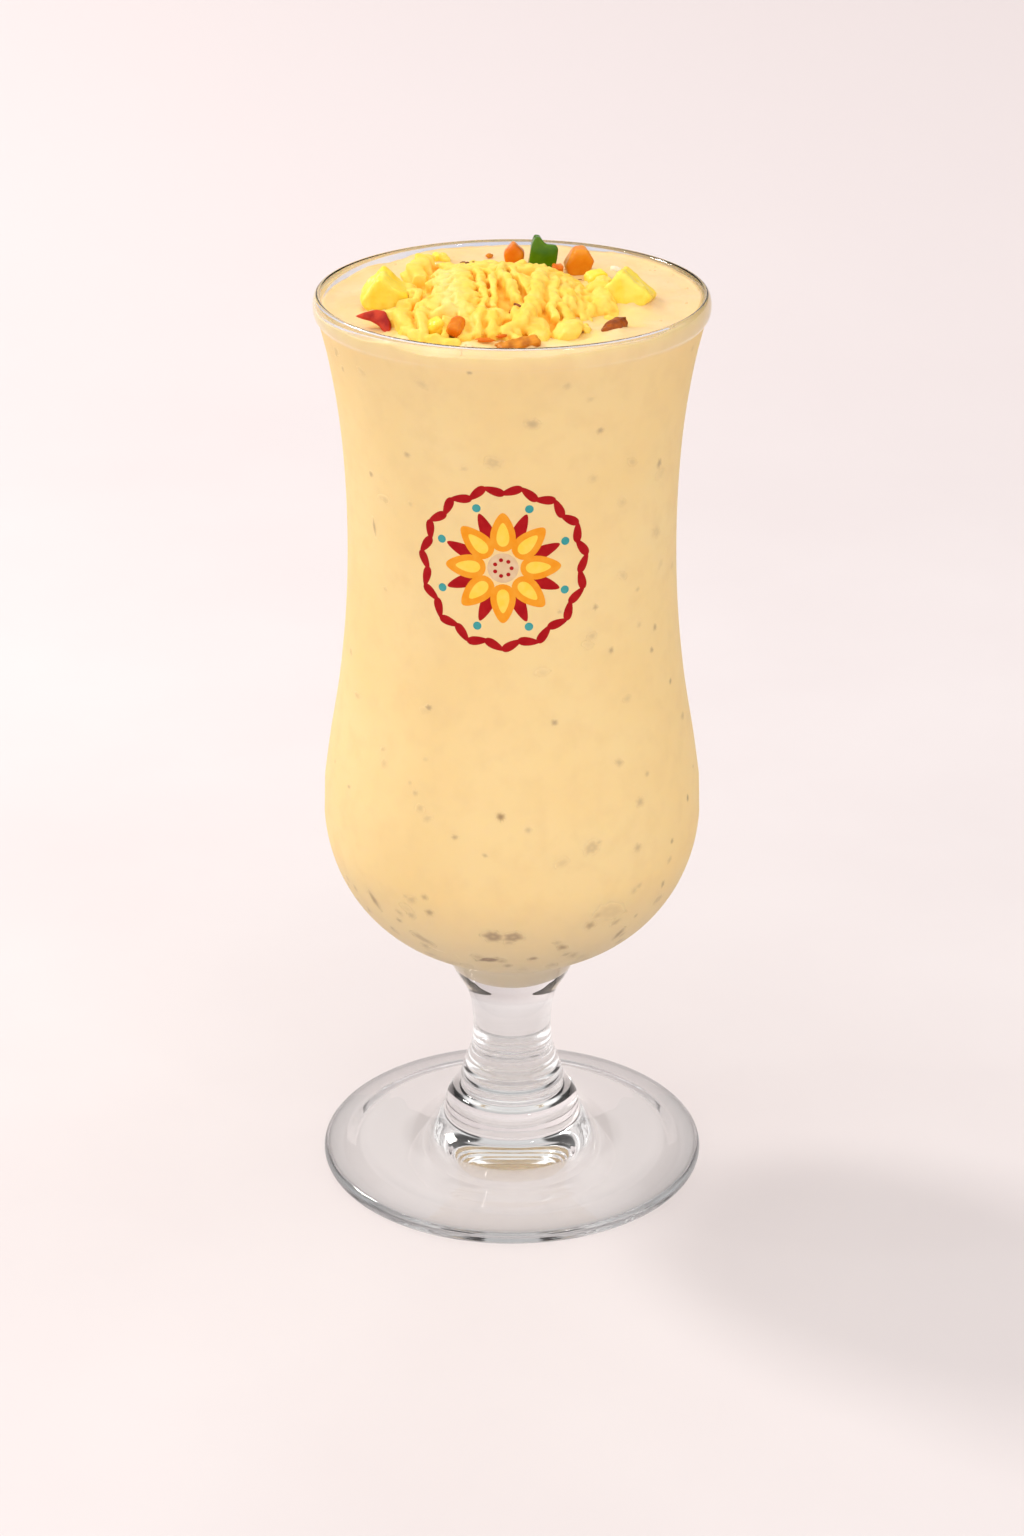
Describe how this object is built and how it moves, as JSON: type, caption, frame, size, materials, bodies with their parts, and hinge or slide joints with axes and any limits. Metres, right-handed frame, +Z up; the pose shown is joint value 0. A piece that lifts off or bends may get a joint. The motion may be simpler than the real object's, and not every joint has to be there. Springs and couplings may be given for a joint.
{
  "type": "falooda in a footed glass",
  "caption": "Tall waisted footed glass filled with a thick pale yellow drink, topped with scraped mango ice cream, cut fruit and nuts.",
  "frame": {"origin": "on the axis of the glass, at the bottom of its foot", "axes": "+Z up along the axis of the glass, -Y towards the front that the picture shows, +X to the right"},
  "size_m": [0.0836, 0.0836, 0.2042],
  "materials": {
    "clear_glass": "polished pressed soda-lime glass",
    "drink": "thick opaque milky drink, slightly glossy",
    "mango_ice_cream": "scraped ice cream, matt with melting edges",
    "mango": "wet cut mango",
    "papaya": "wet cut papaya",
    "green_candied_fruit": "glossy candied fruit",
    "cherry_peel": "glossy candied cherry peel",
    "raisin": "wrinkled moist skin",
    "almond": "dry nut with brown skin",
    "cashew": "dry pale nut"
  },
  "bodies": {
    "root": {"glass": "clear_glass", "drink": "drink", "mango_ice_cream": "mango_ice_cream", "mango_cube_left": "mango", "mango_cube_right": "mango", "mango_bit_back": "mango", "mango_bit_right": "mango", "mango_bit_front": "mango", "papaya_left": "papaya", "papaya_right": "papaya", "papaya_front": "papaya", "papaya_bit": "papaya", "green_candied_fruit": "green_candied_fruit", "cherry_peel": "cherry_peel", "raisin_right": "raisin", "raisin_middle": "raisin", "almond_front": "almond", "cashew_crumb": "cashew"}
  },
  "joints": []
}
